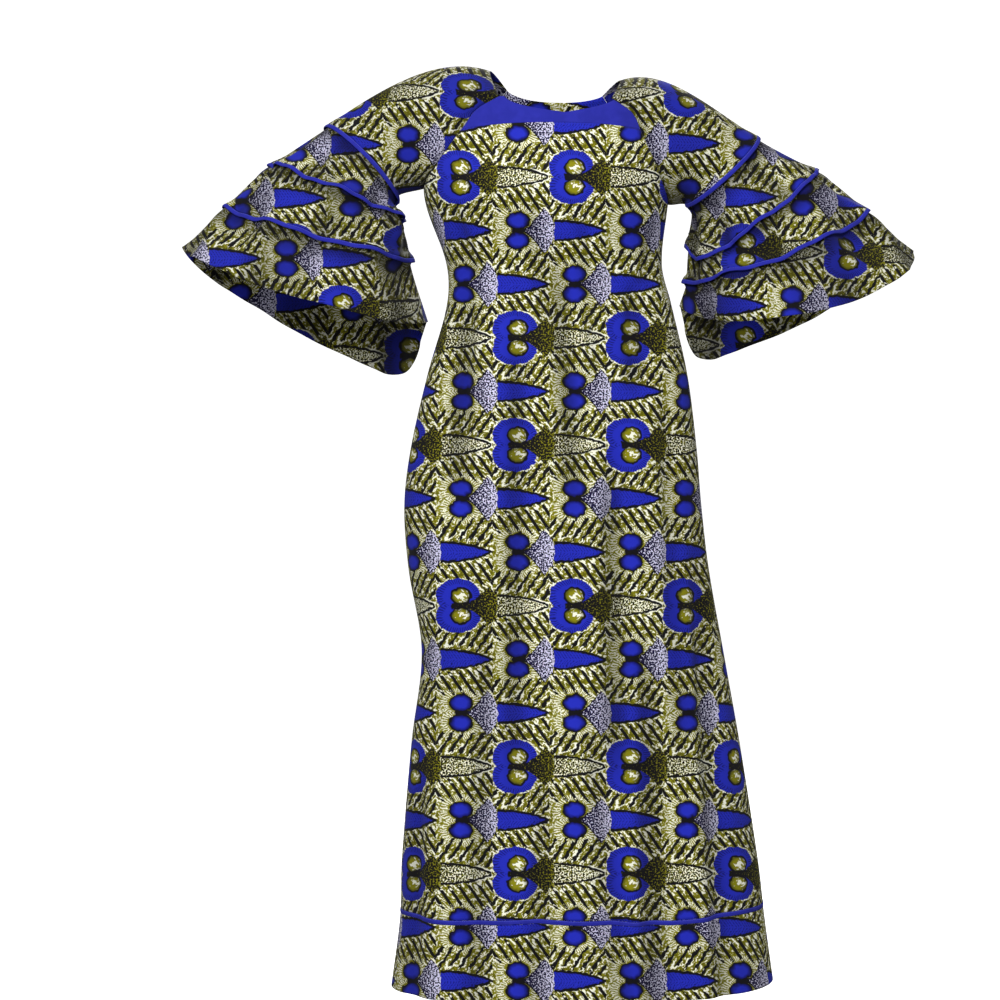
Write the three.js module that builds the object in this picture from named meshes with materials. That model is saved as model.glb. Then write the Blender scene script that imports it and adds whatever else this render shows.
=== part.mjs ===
// A floor-length African print dress with raglan bell sleeves, standing open as it does when worn.
// Millimetres, +Z up. The front faces -Y and the wearer's right arm is on the -X side.
// The origin is midway between the two shoulders, where the wearer holds the dress up.
import * as THREE from "three";

// Cloth and making
const CLOTH = 1.8; // thickness of a cloth wall
const SEAM = 0.3; // gap left between two pieces that are sewn together
const BINDING_WIDTH = 6.5; // height of the blue edge on each flounce, and of the piping above the hem
const BINDING_THICK = 3.2; // the blue edge is folded double round the cloth
const UNDER = CLOTH + SEAM; // depth at which a flounce is sewn on beneath the cloth above it
const CLEAR = 3 * SEAM; // room between a binding and the flounce that passes inside it
const RAGLAN_CLEAR = 4 * SEAM; // a sleeve cap starts this far out from the curved edge of the body's wall

// Body sections, from the neck down: height, right side, left side, front, back.
const SECTIONS = [
  [10, -104, 102, -66, 50],
  [-50, -154, 150, -92, 80],
  [-120, -188, 170, -117, 98],
  [-185, -196, 170, -131, 100],
  [-285, -163, 160, -113, 85],
  [-345, -162, 174, -108, 87],
  [-450, -191, 198, -117, 108],
  [-560, -216, 212, -126, 126],
  [-645, -226, 219, -131, 132],
  [-740, -220, 230, -136, 134],
  [-865, -200, 252, -147, 139],
  [-1000, -215, 276, -160, 148],
  [-1180, -230, 304, -178, 164],
  [-1260, -232, 313, -187, 171],
  [-1370, -246, 328, -200, 183],
];
const ROUNDNESS = 2.25; // exponent of the oval sections: 2 is an ellipse, more is squarer
const FOLD_ENDS = 4; // a fold fades in, and out above the hem, over this part of its length: a quarter
const SIDE_REACH = 1.6; // how soon the folds reach full depth away from the side seams, which hang straight

// Seams on the body
const NECK_FRONT = { right: -45, left: -48 }; // height of the neckline's front corners
const NECK_BACK = { right: -16, left: -24 };
const UNDERARM = { right: -172, left: -196 };
const YOKE_SEAM = -87; // the yoke ends here, in the middle
const YOKE_SEAM_DROP = 7; // and this much lower at its two ends
const YOKE_POINT = 25; // the sweetheart point dips this far below the corners
const YOKE_POINT_ACROSS = 0.553; // and lies at this share of the way from the wearer's right to left
const YOKE_POINT_CURVE = 0.85; // below 1, the two sides of the point curve like a sweetheart neckline
const BACK_NECK_DIP = 12;
const BACK_NECK_CURVE = 0.8; // below 1, the back neckline is flatter in its middle
const HEM_SEAM = -1243; // top of the hem flounce, in the middle of the body
const HEM = -1359;
const HEM_RISE_BACK = 12; // the hem is this much higher behind
const HEM_TILT = 0.022; // the hem climbs towards the wearer's left, which carries no weight
const HEM_SIDES = [-230, 310]; // how far the hem seam reaches to the right and left

// The raglan seam, as the share of the half width that it has reached, from neck (0) to underarm (1).
const RAGLAN_FRONT = [
  [0, 0.55],
  [0.14, 0.71],
  [0.35, 0.765],
  [0.7, 0.875],
  [1, 1],
];
const RAGLAN_BACK = [
  [0, 0.56],
  [0.3, 0.66],
  [0.7, 0.85],
  [1, 1],
];
const SHOULDER = { right: [-97, 6, 5], left: [97, 6, -9] }; // the neck edge's highest point

// The edges of the sleeve cap and of the three flounces under it. Each is an oval ring, given by its
// outermost and innermost points (x, z), half its depth, and how far it hangs before and behind.
const SLEEVES = {
  right: [
    { outer: [-341, -78], inner: [-236, -188], depth: 64, front: -10, back: 20 },
    { outer: [-421, -138], inner: [-230, -216], depth: 90, front: 3, back: 40 },
    { outer: [-487, -203], inner: [-222, -277], depth: 114, front: 11, back: 60 },
    { outer: [-555, -262], inner: [-196, -372], depth: 140, front: 28, back: 88 },
  ],
  left: [
    { outer: [300, -92], inner: [196, -193], depth: 64, front: 15, back: 24 },
    { outer: [386, -146], inner: [201, -252], depth: 90, front: 35, back: 42, slump: 0.5 },
    { outer: [459, -206], inner: [201, -308], depth: 114, front: 24, back: 60 },
    { outer: [535, -268], inner: [192, -347], depth: 140, front: 60, back: 86 },
  ],
};
const SLUMP_BEHIND = 0.45; // below 1, the cloth hangs lowest near the arm's inner side
const SLEEVE_SET_BACK = 8; // the arms are carried this far behind the side seams
const CAP_SLOPE = { under: -0.35, over: 0.38 }; // how steeply the sleeve cap leaves the body
const FLUTES = 6; // soft folds round each flounce
const FLUTE_DEPTH = 11;
const FLUTE_CURVE = 1.4; // they grow slowly at first below the seam
const FLUTE_UNDER = 0.55; // and are this shallow under the arm, beside those on top
const FLUTE_UNEVEN = 0.14; // their spacing drifts by this part of a turn
const FLUTE_TURN = { spacing: 0.21, place: 0.37 }; // so that they don't line up from flounce to flounce
const EDGE_KICK = 4; // the bound edges stand off the flounce below by this much
const EDGE_LEAN = 0.4; // but lean out no more steeply than this

// Soft folds of the body: along x, the trough or ridge runs from one height to another.
// Each is [depth, x at its top, x at its foot, top, foot, half width], a trough having a negative depth.
const FRONT_FOLDS = [
  [-9, -12, 34, -240, -760, 24],
  [-8, 92, 78, -300, -1050, 26],
  [-8, -104, -128, -300, -640, 28],
  [-11, 118, 132, -620, -1370, 40],
  [-9, -70, -62, -640, -1370, 44],
  [9, 20, 24, -800, -1370, 46],
];
const BACK_FOLDS = [
  [-8, 20, 40, -250, -900, 30],
  [-11, -80, -92, -560, -1370, 42],
  [-11, 120, 138, -600, -1370, 42],
  [9, 10, 26, -820, -1370, 48],
];
const BUST = { depth: 10, apart: 86, z: -192, wide: 58, tall: 62 };

// Facets. Columns round a sleeve are shared with the rows of the pieces it is sewn to.
const AROUND = { back: 8, neck: 8, yoke: 3, front: 7 };
const ACROSS = 18; // columns across a body piece
const BELOW = 13; // rows of a body panel below the underarm
const HEM_ROWS = 2;
const CAP_ROWS = [0, 0.17, 0.38, 0.62, 0.86, 1]; // the next flounce is sewn under the last row but one
const FLOUNCE_ROWS = [0, 0.3, 0.72, 1]; // below the binding above

const COLOURS = { print: 0x6f6d2c, blue: 0x252cab };

const mix = (a, b, t) => a + (b - a) * t;
const clamp = (t) => Math.min(1, Math.max(0, t));
const ease = (t) => clamp(t) ** 2 * (3 - 2 * clamp(t));
const bell = (d) => Math.exp(-d * d);

// A smooth curve through a table's rows at position p: a cubic in each gap, its slopes from the rows beside it.
function through(table, p, column) {
  const down = table.at(-1)[0] < table[0][0] ? -1 : 1;
  let i = table.findIndex((row, k) => k && (row[0] - p) * down >= 0);
  if (i < 0) i = table.length - 1;
  const at = (k) => table[Math.min(Math.max(k, 0), table.length - 1)];
  const [a, b] = [at(i - 1), at(i)];
  const slope = (before, after) => (after[column] - before[column]) / (after[0] - before[0]);
  const span = b[0] - a[0];
  const t = clamp((p - a[0]) / span);
  const h = (1 + 2 * t) * (1 - t) ** 2;
  return (
    h * a[column] +
    (1 - h) * b[column] +
    span * t * (1 - t) * ((1 - t) * slope(at(i - 2), b) - t * slope(a, at(i + 1)))
  );
}

// How far the cloth stands out at x and z through a list of folds.
function folds(list, x, z) {
  return list.reduce((sum, [depth, xTop, xFoot, top, foot, wide]) => {
    const along = clamp((z - top) / (foot - top));
    const fade = ease(along * FOLD_ENDS) * (foot > HEM ? ease((1 - along) * FOLD_ENDS) : 1);
    return sum + depth * fade * bell((x - mix(xTop, xFoot, along)) / (wide * (0.8 + 0.4 * along)));
  }, 0);
}

function bust(x, z) {
  const { depth, apart, z: level, wide, tall } = BUST;
  const centre = middle(z).x;
  const across = (place) => bell((x - centre - place) / wide);
  return depth * bell((z - level) / tall) * (across(apart) + across(-apart));
}

// The section's middle and half width at a height.
function middle(z) {
  const [right, left] = [through(SECTIONS, z, 1), through(SECTIONS, z, 2)];
  return { x: (right + left) / 2, half: (left - right) / 2 };
}

// The level direction in which the body faces at an angle: 0 is the left side seam, a quarter turn is the
// middle of the front, a half turn is the right side seam and three quarters is the middle of the back.
function facing(angle, z) {
  const [c, s] = [Math.cos(angle), Math.sin(angle)];
  const power = 2 - 2 / ROUNDNESS;
  const along = (Math.sign(c) * Math.abs(c) ** power) / middle(z).half;
  return new THREE.Vector3(along, (-Math.sign(s) * Math.abs(s) ** power) / depthAt(z, s), 0).normalize();
}

const depthAt = (z, s) => Math.abs(through(SECTIONS, z, s >= 0 ? 3 : 4));

function bodyPoint(angle, z) {
  const { x: centre, half } = middle(z);
  const [c, s] = [Math.cos(angle), Math.sin(angle)];
  const x = centre + half * Math.sign(c) * Math.abs(c) ** (2 / ROUNDNESS);
  const y = -depthAt(z, s) * Math.sign(s) * Math.abs(s) ** (2 / ROUNDNESS);
  const out = s >= 0 ? folds(FRONT_FOLDS, x, z) + bust(x, z) : folds(BACK_FOLDS, x, z);
  const awayFromSide = ease(Math.abs(s) * SIDE_REACH);
  return new THREE.Vector3(x, y, z).addScaledVector(facing(angle, z), out * awayFromSide);
}

const sideSign = (side) => (side === "right" ? -1 : 1);

// The angle at which a panel ends at height z: the raglan seam above the underarm, the side seam below it.
function edgeAngle(side, z, face) {
  const [neck, seam] = face === "front" ? [NECK_FRONT[side], RAGLAN_FRONT] : [NECK_BACK[side], RAGLAN_BACK];
  const along = clamp((neck - z) / (neck - UNDERARM[side]));
  const reach = Math.min(1, through(seam, along, 1)); // share of the half width
  const acute = Math.acos(reach ** (ROUNDNESS / 2));
  const fromLeft = side === "left" ? acute : Math.PI - acute;
  return face === "front" ? fromLeft : -fromLeft;
}

// Evenly spaced numbers from one to another, both included.
const steps = (from, to, count) => Array.from({ length: count + 1 }, (_, k) => mix(from, to, k / count));

// The wall of a body piece through the height curves given, each with its number of rows.
// Columns run from the wearer's right to left in front, and back again behind.
function panel(face, curves, rows, thickness, out) {
  const towards = face === "front" ? -1 : 1;
  const shares = rows.flatMap((count, k) => steps(k, k + 1, count).slice(k ? 1 : 0));
  const places = shares.map((share) =>
    steps(0, 1, ACROSS).map((s) => {
      const across = face === "front" ? s : 1 - s;
      const k = Math.min(Math.floor(share), rows.length - 1);
      const z = mix(curves[k](across), curves[k + 1](across), share - k);
      return [mix(edgeAngle("right", z, face), edgeAngle("left", z, face), across), z];
    }),
  );
  const seam = new THREE.Vector3(0, (towards * SEAM) / 2, 0);
  const points = places.map((row) => row.map(([angle, z]) => bodyPoint(angle, z).add(seam)));
  const directions = places.map((row) => row.map(([angle, z]) => facing(angle, z).negate()));
  return wall(points, false, thickness, out, directions);
}

// Directions towards the wearer at each point of a grid. A closed grid's last column repeats its first.
function inward(points, closed) {
  const last = points[0].length - 1;
  return points.map((row, j) =>
    row.map((_, i) => {
      const before = i > 0 ? i - 1 : closed ? last - 1 : 0;
      const after = i < last ? i + 1 : closed ? 1 : last;
      const across = row[after].clone().sub(row[before]);
      const [above, below] = [points[Math.max(j - 1, 0)], points[Math.min(j + 1, points.length - 1)]];
      return across.cross(below[i].clone().sub(above[i])).normalize();
    }),
  );
}

const moved = (points, directions, distance) =>
  points.map((row, j) => row.map((p, i) => p.clone().addScaledVector(directions[j][i], distance)));

// A cloth wall that starts this far outside a grid of points and is this thick.
function wall(points, closed, thickness = CLOTH, out = 0, directions) {
  const layers = [moved(points, directions, -out), moved(points, directions, thickness - out)];
  const [rows, columns] = [points.length, closed ? points[0].length - 1 : points[0].length];
  const index = (layer, j, i) => layer * rows * columns + j * columns + (i % columns);
  const faces = [];
  const quad = (a, b, c, d) => faces.push(a, b, c, a, c, d);
  const spans = closed ? columns : columns - 1;
  for (let i = 0; i < spans; i++) {
    for (let j = 0; j < rows - 1; j++) {
      quad(index(0, j, i), index(0, j + 1, i), index(0, j + 1, i + 1), index(0, j, i + 1));
      quad(index(1, j, i), index(1, j, i + 1), index(1, j + 1, i + 1), index(1, j + 1, i));
    }
    quad(index(0, 0, i), index(0, 0, i + 1), index(1, 0, i + 1), index(1, 0, i));
    quad(index(0, rows - 1, i), index(1, rows - 1, i), index(1, rows - 1, i + 1), index(0, rows - 1, i + 1));
  }
  for (let j = 0; j < rows - 1 && !closed; j++) {
    quad(index(0, j, 0), index(1, j, 0), index(1, j + 1, 0), index(0, j + 1, 0));
    quad(index(0, j, spans), index(0, j + 1, spans), index(1, j + 1, spans), index(1, j, spans));
  }
  const corners = layers.flatMap((layer) => layer.flatMap((row) => row.slice(0, columns)));
  const places = corners.flatMap((p) => p.toArray());
  return new THREE.BufferGeometry()
    .setAttribute("position", new THREE.Float32BufferAttribute(places, 3))
    .setIndex(faces);
}

// Body pieces. Heights are functions of s, the share of the way from the wearer's right to left.

const yokeSeam = (s) => YOKE_SEAM - YOKE_SEAM_DROP * (2 * s - 1) ** 2;
const neckFront = (s) => {
  const towardsPoint = Math.max(0, 1 - 2 * Math.abs(s - YOKE_POINT_ACROSS));
  return mix(NECK_FRONT.right, NECK_FRONT.left, s) - YOKE_POINT * towardsPoint ** YOKE_POINT_CURVE;
};
const neckBack = (s) =>
  mix(NECK_BACK.right, NECK_BACK.left, s) - BACK_NECK_DIP * Math.sin(Math.PI * s) ** BACK_NECK_CURVE;
const underarm = (s) => mix(UNDERARM.right, UNDERARM.left, s);
const tilt = (s) => HEM_TILT * mix(...HEM_SIDES, s);
const hemSeam = (drop) => (s) => HEM_SEAM + tilt(s) - drop;
const hem = (face) => (s) => HEM + tilt(s) + (face === "front" ? 0 : HEM_RISE_BACK * Math.sin(Math.PI * s));
const lowered = (curve, drop) => (s) => curve(s) - drop;

function bodyPieces(face) {
  const front = face === "front";
  const top = front ? lowered(yokeSeam, SEAM / 2) : neckBack;
  const raglanRows = front ? AROUND.front : AROUND.back;
  const [piping, flounce] = [SEAM, BINDING_WIDTH + 2 * SEAM];
  return {
    [`${face}_panel`]: [panel(face, [top, underarm, hemSeam(0)], [raglanRows, BELOW]), COLOURS.print],
    [`hem_piping_${face}`]: [
      panel(face, [hemSeam(piping), hemSeam(flounce - SEAM)], [1], BINDING_THICK, 1),
      COLOURS.blue,
    ],
    [`hem_flounce_${face}`]: [panel(face, [hemSeam(flounce), hem(face)], [HEM_ROWS]), COLOURS.print],
  };
}

const yoke = () => panel("front", [neckFront, lowered(yokeSeam, -SEAM / 2)], [AROUND.yoke]);

// Sleeves. Columns run from under the arm up behind, over the top and down in front.

// Where a sleeve leaves the body: up the back raglan seam, round the neck edge, down the front seam.
function armhole(side) {
  const edge = (face, heights) => heights.map((z) => bodyPoint(edgeAngle(side, z, face), z));
  const yokeEnd = yokeSeam(0);
  const back = edge("back", steps(UNDERARM[side], NECK_BACK[side], AROUND.back));
  const yokeSide = edge("front", steps(NECK_FRONT[side], yokeEnd, AROUND.yoke));
  const front = edge("front", steps(yokeEnd, UNDERARM[side], AROUND.front));
  const [a, b] = [back.at(-1), yokeSide[0]];
  const control = new THREE.Vector3(...SHOULDER[side]).multiplyScalar(2).sub(a.clone().lerp(b, 0.5));
  const neck = new THREE.QuadraticBezierCurve3(a, control, b).getPoints(AROUND.neck).slice(1, -1);
  return [...back, ...neck, ...yokeSide, ...front.slice(1)];
}

// The oval ring on which a sleeve piece ends. Round it, u is 0 under the arm, 1/4 behind and 1/2 on top.
function ringPoint({ outer, inner, depth, front, back, slump = 1 }, u, side) {
  const across = new THREE.Vector2(outer[0] - inner[0], outer[1] - inner[1]);
  const down = new THREE.Vector2(across.y, -across.x).normalize().multiplyScalar(sideSign(side));
  const [c, s] = [(1 - Math.cos(2 * Math.PI * u)) / 2, Math.sin(2 * Math.PI * u)];
  const [most, lean] = u < 0.5 ? [back, SLUMP_BEHIND] : [front, slump];
  const hang = most * Math.sin(Math.PI * (2 * Math.min(u, 1 - u)) ** lean);
  return new THREE.Vector3(
    inner[0] + across.x * c + down.x * hang,
    depth * s + SLEEVE_SET_BACK,
    inner[1] + across.y * c + down.y * hang,
  );
}

// A cubic from p to q that leaves along the first direction and arrives along the second.
function sweep(p, q, leave, arrive, t) {
  const long = p.distanceTo(q);
  return p
    .clone()
    .multiplyScalar((1 + 2 * t) * (1 - t) ** 2)
    .addScaledVector(q, (3 - 2 * t) * t * t)
    .addScaledVector(leave.clone().normalize(), long * t * (1 - t) ** 2)
    .addScaledVector(arrive.clone().normalize(), -long * t * t * (1 - t));
}

function capRows(side) {
  const seam = armhole(side);
  const last = seam.length - 1;
  return CAP_ROWS.map((t) =>
    seam.map((p, i) => {
      const u = i / last;
      const q = ringPoint(SLEEVES[side][0], u, side);
      const slope = mix(CAP_SLOPE.under, CAP_SLOPE.over, Math.sin(Math.PI * u) ** 2);
      const leave = new THREE.Vector3(sideSign(side), 0, slope);
      const from = p.clone().addScaledVector(leave.clone().normalize(), RAGLAN_CLEAR);
      return sweep(from, q, leave, ringPoint(SLEEVES[side][1], u, side).sub(q), t);
    }),
  );
}

// How far a flounce's soft flutes stand out, from nothing at its seam to the most at its edge.
function flute(t, u, tier) {
  const drift = FLUTE_UNEVEN * Math.sin(2 * Math.PI * (u + FLUTE_TURN.spacing * tier));
  const wave = 0.5 + 0.5 * Math.cos(2 * Math.PI * (u * FLUTES + drift + FLUTE_TURN.place * tier));
  return FLUTE_DEPTH * wave * t ** FLUTE_CURVE * mix(FLUTE_UNDER, 1, Math.sin(Math.PI * u));
}

// The edge of a sleeve piece, leaning out from the flounce below, and the way its cloth runs on from there.
function edgeOf(rows, directions) {
  const onward = rows.at(-1).map((p, i) => p.clone().sub(rows.at(-2)[i]));
  const edge = rows.at(-1).map((p, i) => {
    const kick = Math.min(EDGE_KICK, EDGE_LEAN * onward[i].length());
    return p.clone().addScaledVector(directions.at(-1)[i], -kick);
  });
  const beyond = (down) => edge.map((p, i) => p.clone().addScaledVector(onward[i].clone().normalize(), down));
  return { edge, beyond };
}

// A flounce hangs from under the last row but one of the piece above, passes just inside that piece's
// binding, and sweeps out to its own ring.
function flounceRows(above, tier, side) {
  const directions = inwardOf(above, side);
  const seam = moved(above, directions, UNDER).at(-2);
  const foot = edgeOf(above, directions).beyond(BINDING_WIDTH + SEAM);
  const inside = foot.map((p, i) => p.clone().addScaledVector(directions.at(-1)[i], BINDING_THICK + CLEAR));
  const last = seam.length - 1;
  const rows = FLOUNCE_ROWS.map((t) =>
    inside.map((p, i) => {
      const q = ringPoint(SLEEVES[side][tier], i / last, side);
      return sweep(p, q, p.clone().sub(seam[i]), q.clone().sub(above.at(-1)[i]), t);
    }),
  );
  const out = inwardOf(rows, side);
  const fluted = rows.map((row, j) =>
    row.map((p, i) => p.clone().addScaledVector(out[j][i], -flute(FLOUNCE_ROWS[j], i / last, tier))),
  );
  return [seam, ...fluted];
}

// The left sleeve's columns run the other way round it, so its directions are turned about.
const inwardOf = (rows, side) =>
  inward(rows, true).map((row) => row.map((d) => (side === "left" ? d.negate() : d)));

// A sleeve piece as a wall, its edge standing off the flounce below, and the binding on that edge.
function edged(rows, side, name) {
  const directions = inwardOf(rows, side);
  const { edge, beyond } = edgeOf(rows, directions);
  const binding = [beyond(SEAM), beyond(SEAM + BINDING_WIDTH)];
  const along = [directions.at(-1), directions.at(-1)];
  const proud = (BINDING_THICK - CLOTH) / 2;
  return {
    [name]: [sleeveWall([...rows.slice(0, -1), edge], directions, side), COLOURS.print],
    [`${name}_binding`]: [sleeveWall(binding, along, side, BINDING_THICK, proud), COLOURS.blue],
  };
}

function sleeveWall(rows, directions, side, thickness, out) {
  const turned = (grid) => (side === "left" ? grid.map((row) => [...row].reverse()) : grid);
  return wall(turned(rows), true, thickness, out, turned(directions));
}

function sleevePieces(side) {
  const cap = capRows(side);
  const first = flounceRows(cap, 1, side);
  const second = flounceRows(first, 2, side);
  const third = flounceRows(second, 3, side);
  return {
    ...edged(cap, side, `sleeve_cap_${side}`),
    ...edged(first, side, `flounce_1_${side}`),
    ...edged(second, side, `flounce_2_${side}`),
    [`flounce_3_${side}`]: [sleeveWall(third, inwardOf(third, side), side), COLOURS.print],
  };
}

const dress = new THREE.Group();
const pieces = {
  yoke: [yoke(), COLOURS.blue],
  ...bodyPieces("front"),
  ...bodyPieces("back"),
  ...sleevePieces("right"),
  ...sleevePieces("left"),
};
for (const [name, [geometry, color]] of Object.entries(pieces)) {
  const mesh = new THREE.Mesh(geometry, new THREE.MeshStandardMaterial({ color, roughness: 0.85, metalness: 0 }));
  mesh.name = name;
  dress.add(mesh);
}

export default dress;
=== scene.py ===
# %% [markdown]
# # A print dress with tiered bell sleeves
#
# This lesson finishes a floor-length dress of wax-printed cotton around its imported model.
# The frame comes first, because every piece below has to lie on one of its solids.

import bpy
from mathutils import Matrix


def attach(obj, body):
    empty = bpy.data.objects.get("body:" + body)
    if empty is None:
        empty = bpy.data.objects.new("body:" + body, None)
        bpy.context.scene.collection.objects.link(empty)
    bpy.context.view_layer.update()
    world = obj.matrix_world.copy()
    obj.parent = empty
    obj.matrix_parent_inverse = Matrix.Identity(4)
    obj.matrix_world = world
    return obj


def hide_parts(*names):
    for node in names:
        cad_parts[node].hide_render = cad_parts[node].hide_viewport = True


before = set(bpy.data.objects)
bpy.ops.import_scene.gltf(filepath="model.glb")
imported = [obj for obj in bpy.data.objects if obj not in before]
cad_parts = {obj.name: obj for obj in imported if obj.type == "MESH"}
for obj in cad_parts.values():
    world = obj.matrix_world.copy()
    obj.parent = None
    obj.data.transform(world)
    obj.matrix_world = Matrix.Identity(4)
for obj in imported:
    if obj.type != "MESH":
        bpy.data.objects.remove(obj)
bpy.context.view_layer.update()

import math

import bpy
import numpy as np
from mathutils import Vector

# %% [markdown]
# ## The camera
#
# The dress is seen from straight in front, a little to its right, at the height of its hips.
# A long lens four metres away keeps the skirt's edges nearly parallel, as in a catalogue.

# %% The camera
EYE = (-0.0825, -4.0, -0.639)
camera = bpy.data.objects.new("camera", bpy.data.cameras.new("camera"))
camera.data.lens = 96
camera.data.sensor_width = 36
camera.location = EYE
camera.rotation_euler = (math.radians(90), 0, 0)
bpy.context.scene.collection.objects.link(camera)
bpy.context.scene.camera = camera
print("the camera stands at", EYE)

# %% [markdown]
# ## Measures
#
# The body is a stack of oval sections, each with its height and how far it reaches to the
# right, left, front and back. Everything sewn to the body is placed by the same few numbers,
# so they are kept together here, in millimetres, and turned into metres once.

# %% Measures of the body and the sleeves
MM = 0.001
SECTIONS = MM * np.array([
    (10, -104, 102, -66, 50), (-50, -154, 150, -92, 80), (-120, -188, 170, -117, 98),
    (-185, -196, 170, -131, 100), (-285, -163, 160, -113, 85), (-345, -162, 174, -108, 87),
    (-450, -191, 198, -117, 108), (-560, -216, 212, -126, 126), (-645, -226, 219, -131, 132),
    (-740, -220, 230, -136, 134), (-865, -200, 252, -147, 139), (-1000, -215, 276, -160, 148),
    (-1180, -230, 304, -178, 164), (-1260, -232, 313, -187, 171), (-1370, -246, 328, -200, 183),
])
ROUNDNESS = 2.25
SEAM = 0.3 * MM
CLOTH = 1.1 * MM
BINDING_WIDTH = 6.5 * MM
NECK_FRONT = {"right": -45 * MM, "left": -48 * MM}
NECK_BACK = {"right": -16 * MM, "left": -24 * MM}
UNDERARM = {"right": -172 * MM, "left": -196 * MM}
YOKE_SEAM, YOKE_DROP, YOKE_POINT, YOKE_POINT_X = -87 * MM, 7 * MM, 25 * MM, 9 / 170
HEM_SEAM, HEM, HEM_RISE_BACK, HEM_TILT = -1243 * MM, -1359 * MM, 12 * MM, 0.022
RAGLAN = {
    "front": np.array([(0, 0.55), (0.14, 0.71), (0.35, 0.765), (0.7, 0.875), (1, 1)]),
    "back": np.array([(0, 0.56), (0.3, 0.66), (0.7, 0.85), (1, 1)]),
}
SHOULDER = {"right": MM * np.array([-97, 6, 5]), "left": MM * np.array([97, 6, -9])}
print(len(SECTIONS), "sections from neck to hem")

# %% [markdown]
# ## Curves through a table
#
# A cubic in each gap of a table gives a smooth outline from few rows. Each row's slope is
# taken from the rows beside it, so the curve has no kinks where two gaps meet.


# %% Helpers for curves
def through(table, p, column):
    """Cubic in each gap of the table: values at the rows, slopes from the rows on either side."""
    down = -1 if table[-1, 0] < table[0, 0] else 1
    last = len(table) - 1
    b = np.clip(np.searchsorted(down * table[:, 0], down * p), 1, last)
    a = b - 1
    before, after = np.maximum(a - 1, 0), np.minimum(b + 1, last)
    key, value = table[:, 0], table[:, column]
    span = key[b] - key[a]
    t = np.clip((p - key[a]) / span, 0, 1)
    slope_a = (value[b] - value[before]) / (key[b] - key[before])
    slope_b = (value[after] - value[a]) / (key[after] - key[a])
    blend = (1 + 2 * t) * (1 - t) ** 2
    bend = span * t * (1 - t) * ((1 - t) * slope_a - t * slope_b)
    return blend * value[a] + (1 - blend) * value[b] + bend


def ease(t):
    """Slow at both ends: t squared times three minus two t."""
    t = np.clip(t, 0, 1)
    return t * t * (3 - 2 * t)


def bell(d):
    """A soft hump, 1 at the middle."""
    return np.exp(-d * d)


def unit(v):
    """Vectors of length one."""
    return v / np.maximum(np.linalg.norm(v, axis=-1, keepdims=True), 1e-12)


print("halfway down, the body is", through(SECTIONS, -0.7, 2) - through(SECTIONS, -0.7, 1), "m wide")

# %% [markdown]
# ## The hanging folds
#
# Cotton hangs from the bust and the hips in soft upright folds that deepen towards the hem.
# Each is a hump or trough along a slanting line that fades in below its top.
# Cloth simulation would crease this crisp print at random, so the folds are drawn instead.

# %% The folds
# depth, x at its top, x at its foot, top, foot, half width, in millimetres
FRONT_FOLDS = [
    (-13, -2, 26, -240, -690, 15), (-13, -130, -152, -310, -660, 16), (-11, 112, 118, -310, -500, 14),
    (-15, 80, 84, -540, -1090, 16), (-13, 130, 142, -800, -1370, 17), (-11, -58, -66, -300, -1150, 15),
    (8, -97, -100, -170, -960, 18), (8, 58, 54, -170, -620, 18), (8, -177, -172, -560, -900, 18),
    (8, -176, -172, -980, -1370, 20), (7, -4, 0, -600, -900, 18), (-10, 204, 240, -640, -1370, 16),
    (-9, 158, 186, -420, -1100, 14), (8, 176, 226, -760, -1370, 18), (10, 24, 30, -860, -1370, 28),
    (-9, 46, 92, -940, -1370, 14), (-10, -104, -122, -760, -1370, 16), (-6, -198, -214, -1000, -1370, 12),
    (7, 104, 116, -1040, -1370, 14), (-9, -20, -34, -1000, -1370, 14), (-7, -36, -16, -190, -420, 12),
    (-7, 34, 58, -200, -520, 12), (-6, -150, -118, -200, -330, 11), (-6, 150, 126, -215, -340, 11),
]
BACK_FOLDS = [
    (-9, 20, 40, -250, -900, 16), (-10, -80, -92, -560, -1370, 22), (-10, 120, 138, -600, -1370, 22),
    (9, 10, 26, -820, -1370, 30), (7, -50, -44, -230, -700, 18), (7, 84, 92, -260, -860, 18),
    (-5, -140, -160, -480, -1370, 20), (5, 180, 230, -640, -1370, 24), (-5, 150, 186, -900, -1370, 18),
    (5, -110, -128, -900, -1370, 18), (-5, 60, 78, -900, -1370, 18), (5, -190, -204, -900, -1370, 18),
]


def folds(table, x, z):
    """Each fold adds its depth times a bell across its line, faded in and out along it."""
    depth, x_top, x_foot, top, foot, wide = (np.array(table) * MM).T[:, :, None, None]
    along = np.clip((z - top) / (foot - top), 0, 1)
    to_hem = foot < HEM
    fade = ease(along * 4) * np.where(to_hem, 1, ease((1 - along) * 4))
    across = (x - (x_top + (x_foot - x_top) * along)) / (wide * (0.8 + 0.4 * along))
    return (depth * fade * bell(across)).sum(axis=0)


def bust(x, z, centre):
    """Two soft humps side by side."""
    level = bell((z + 0.192) / 0.062)
    return 0.010 * level * (bell((x - centre - 0.086) / 0.058) + bell((x - centre + 0.086) / 0.058))


print(len(FRONT_FOLDS), "folds in front and", len(BACK_FOLDS), "behind")

# %% [markdown]
# ## The body's surface
#
# A point on the body is found from an angle round an oval section and a height. The oval is a
# little squarer than an ellipse, as cloth is when it hangs over hips. The folds push the point
# out along the section's own level direction.


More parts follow.
